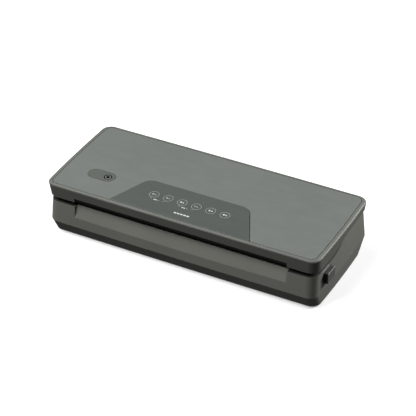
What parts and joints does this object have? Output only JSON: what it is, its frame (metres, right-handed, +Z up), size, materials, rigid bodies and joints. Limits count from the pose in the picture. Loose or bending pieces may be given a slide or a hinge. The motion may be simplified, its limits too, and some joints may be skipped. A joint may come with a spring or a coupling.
{
  "type": "vacuum sealer",
  "caption": "Countertop vacuum sealer with a hinged lid carrying a touch key panel and hose port, over a sealing bar, vacuum trough, pump and side release buttons.",
  "frame": {"origin": "bottom centre of the bounding box, on the surface the four feet stand on", "axes": "+X to the right as seen from the front, -Y towards the user (bag slot side), +Z up"},
  "size_m": [0.3696, 0.1566, 0.0738],
  "materials": {
    "dark_plastic": "fine matte texture, dark grey",
    "grey_plastic": "matte metallic grey",
    "panel_plastic": "satin, slightly darker grey",
    "black_plastic": "moulded matte black",
    "gasket_foam": "soft closed-cell rubber",
    "hose_rubber": "silicone tubing",
    "foot_rubber": "matte rubber",
    "coated_tape": "brown non-stick coated glass cloth",
    "heating_alloy": "flat resistance ribbon",
    "steel": "zinc plated",
    "copper_winding": "enamelled copper wire under amber tape",
    "plated_brass": "bright plated",
    "circuit_board": "green solder mask",
    "component_plastic": "moulded component cases",
    "nozzle_plastic": "smooth light grey",
    "led_lens": "milky lens"
  },
  "bodies": {
    "base": {"base_housing": "dark_plastic", "bottom_cover": "dark_plastic", "sealing_bar": "black_plastic", "heating_wire": "heating_alloy", "sealing_tape": "coated_tape", "lower_gasket": "gasket_foam", "drip_tray": "black_plastic", "suction_nozzle": "gasket_foam", "suction_hose": "hose_rubber", "pump_motor": "steel", "pump_head_left": "black_plastic", "pump_head_right": "black_plastic", "pump_bracket": "black_plastic", "transformer_core": "steel", "transformer_coil": "copper_winding", "main_board": "circuit_board", "board_parts": "component_plastic", "pressure_sensor": "black_plastic", "inlet_socket": "black_plastic", "inlet_pins": "plated_brass", "bottom_screws": "steel", "foot_front_left": "foot_rubber", "foot_front_right": "foot_rubber", "foot_rear_left": "foot_rubber", "foot_rear_right": "foot_rubber", "latch_bracket_right": "black_plastic", "latch_bracket_left": "black_plastic", "latch_spring_right": "steel", "latch_spring_left": "steel", "latch_switch_right": "component_plastic", "latch_switch_left": "component_plastic", "hinge_pin_right": "steel", "hinge_pin_left": "steel"},
    "lid": {"upper_gasket": "gasket_foam", "lid_hook_right": "black_plastic", "lid_hook_left": "black_plastic", "lid_frame": "dark_plastic", "lid_top_plate": "grey_plastic", "control_panel": "panel_plastic", "lid_liner": "black_plastic", "pressure_strip": "gasket_foam", "port_insert": "grey_plastic", "port_nozzle": "nozzle_plastic", "port_tube": "hose_rubber", "control_board": "circuit_board", "touch_pads": "gasket_foam", "led_lights": "led_lens", "lid_screws": "steel"},
    "button_right": {"button_stem_right": "black_plastic", "button_cap_right": "grey_plastic", "latch_slider_right": "black_plastic"},
    "button_left": {"button_stem_left": "black_plastic", "button_cap_left": "grey_plastic", "latch_slider_left": "black_plastic"}
  },
  "joints": [
    {"name": "lid_hinge", "type": "hinge", "parent": "base", "child": "lid", "pos_m": [0, 0.06815, 0.0624], "axis": [-1, 0, 0], "range_deg": [0, 75]},
    {"name": "button_right_press", "type": "slide", "parent": "base", "child": "button_right", "axis": [-1, 0, 0], "range_m": [0, 0.003], "stiffness_N_per_m": 600, "springref_m": -0.002, "deforming": ["latch_spring_right"]},
    {"name": "button_left_press", "type": "slide", "parent": "base", "child": "button_left", "axis": [1, 0, 0], "range_m": [0, 0.003], "stiffness_N_per_m": 600, "springref_m": -0.002, "deforming": ["latch_spring_left"]}
  ]
}
